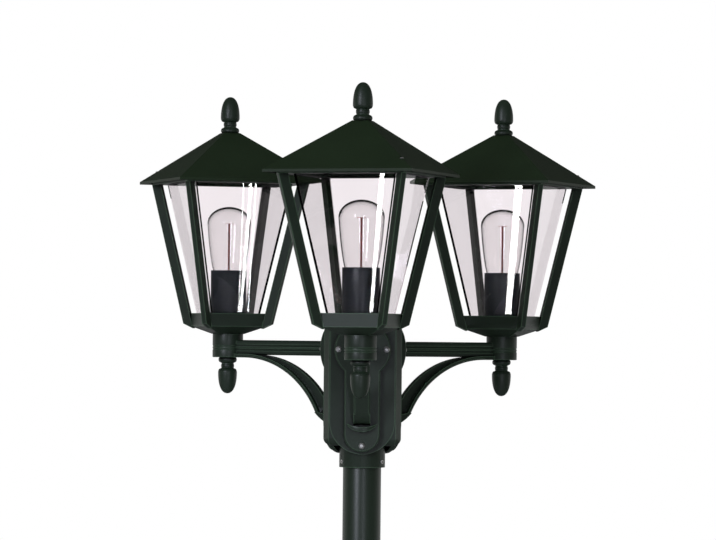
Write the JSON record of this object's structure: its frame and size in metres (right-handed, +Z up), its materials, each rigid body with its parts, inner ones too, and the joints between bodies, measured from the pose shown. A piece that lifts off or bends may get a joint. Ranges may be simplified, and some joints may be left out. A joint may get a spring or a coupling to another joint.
{
  "type": "triple head lamp post",
  "caption": "Round lamp post with a triple head: tapered four-sided glass lanterns under pitched lift-off roofs with acorn finials, on braced arms fixed to a three-sided hub.",
  "frame": {"origin": "centre of the foot's underside on the post axis, where it meets the ground", "axes": "+Z up along the post; -Y towards the front lantern's arm; +X to the right seen from the front"},
  "size_m": [0.7412, 0.6797, 2.303],
  "materials": {
    "green_paint": "satin",
    "post_steel": "satin",
    "foot_iron": "satin",
    "stainless": "satin",
    "zinc_steel": "satin",
    "terminal_plastic": "matte",
    "pane_glass": "gloss",
    "bulb_glass": "gloss",
    "sleeve_plastic": "satin",
    "holder_ceramic": "matte",
    "cap_brass": "satin",
    "filament_wire": "matte"
  },
  "bodies": {
    "post_assembly": {"post_tube": "post_steel", "foot_casting": "foot_iron", "foot_set_screws": "stainless", "hub_casting": "green_paint", "hub_cap": "green_paint", "hub_cap_screws": "stainless", "collar_set_screws": "stainless", "terminal_block": "terminal_plastic", "arm_plate_screws": "stainless", "stud_nuts": "zinc_steel", "arm_casting_front": "green_paint", "pendant_finial_front": "green_paint", "lantern_stud_front": "zinc_steel", "lantern_base_front": "green_paint", "lantern_ribs_front": "green_paint", "glass_panes_front": "pane_glass", "top_ring_front": "green_paint", "lamp_sleeve_front": "sleeve_plastic", "lampholder_front": "holder_ceramic", "arm_casting_left": "green_paint", "pendant_finial_left": "green_paint", "lantern_stud_left": "zinc_steel", "lantern_base_left": "green_paint", "lantern_ribs_left": "green_paint", "glass_panes_left": "pane_glass", "top_ring_left": "green_paint", "lamp_sleeve_left": "sleeve_plastic", "lampholder_left": "holder_ceramic", "arm_casting_right": "green_paint", "pendant_finial_right": "green_paint", "lantern_stud_right": "zinc_steel", "lantern_base_right": "green_paint", "lantern_ribs_right": "green_paint", "glass_panes_right": "pane_glass", "top_ring_right": "green_paint", "lamp_sleeve_right": "sleeve_plastic", "lampholder_right": "holder_ceramic"},
    "roof_front_body": {"roof_front": "green_paint", "roof_screws_front": "stainless", "roof_finial_front": "green_paint"},
    "bulb_front_body": {"bulb_cap_front": "cap_brass", "bulb_glass_front": "bulb_glass", "bulb_stem_front": "bulb_glass", "bulb_filament_front": "filament_wire"},
    "roof_left_body": {"roof_left": "green_paint", "roof_screws_left": "stainless", "roof_finial_left": "green_paint"},
    "bulb_left_body": {"bulb_cap_left": "cap_brass", "bulb_glass_left": "bulb_glass", "bulb_stem_left": "bulb_glass", "bulb_filament_left": "filament_wire"},
    "roof_right_body": {"roof_right": "green_paint", "roof_screws_right": "stainless", "roof_finial_right": "green_paint"},
    "bulb_right_body": {"bulb_cap_right": "cap_brass", "bulb_glass_right": "bulb_glass", "bulb_stem_right": "bulb_glass", "bulb_filament_right": "filament_wire"}
  },
  "joints": [
    {"name": "roof_front_lift", "type": "slide", "parent": "post_assembly", "child": "roof_front_body", "axis": [0, 0, 1], "range_m": [0, 0.16]},
    {"name": "bulb_front_turn", "type": "hinge", "parent": "post_assembly", "child": "bulb_front_body", "pos_m": [0, -0.254, 1.96], "axis": [0, 0, 1], "range_deg": [0, 900]},
    {"name": "roof_left_lift", "type": "slide", "parent": "post_assembly", "child": "roof_left_body", "axis": [0, 0, 1], "range_m": [0, 0.16]},
    {"name": "bulb_left_turn", "type": "hinge", "parent": "post_assembly", "child": "bulb_left_body", "pos_m": [-0.21997, 0.127, 1.96], "axis": [0, 0, 1], "range_deg": [0, 900]},
    {"name": "roof_right_lift", "type": "slide", "parent": "post_assembly", "child": "roof_right_body", "axis": [0, 0, 1], "range_m": [0, 0.16]},
    {"name": "bulb_right_turn", "type": "hinge", "parent": "post_assembly", "child": "bulb_right_body", "pos_m": [0.21997, 0.127, 1.96], "axis": [0, 0, 1], "range_deg": [0, 900]}
  ]
}
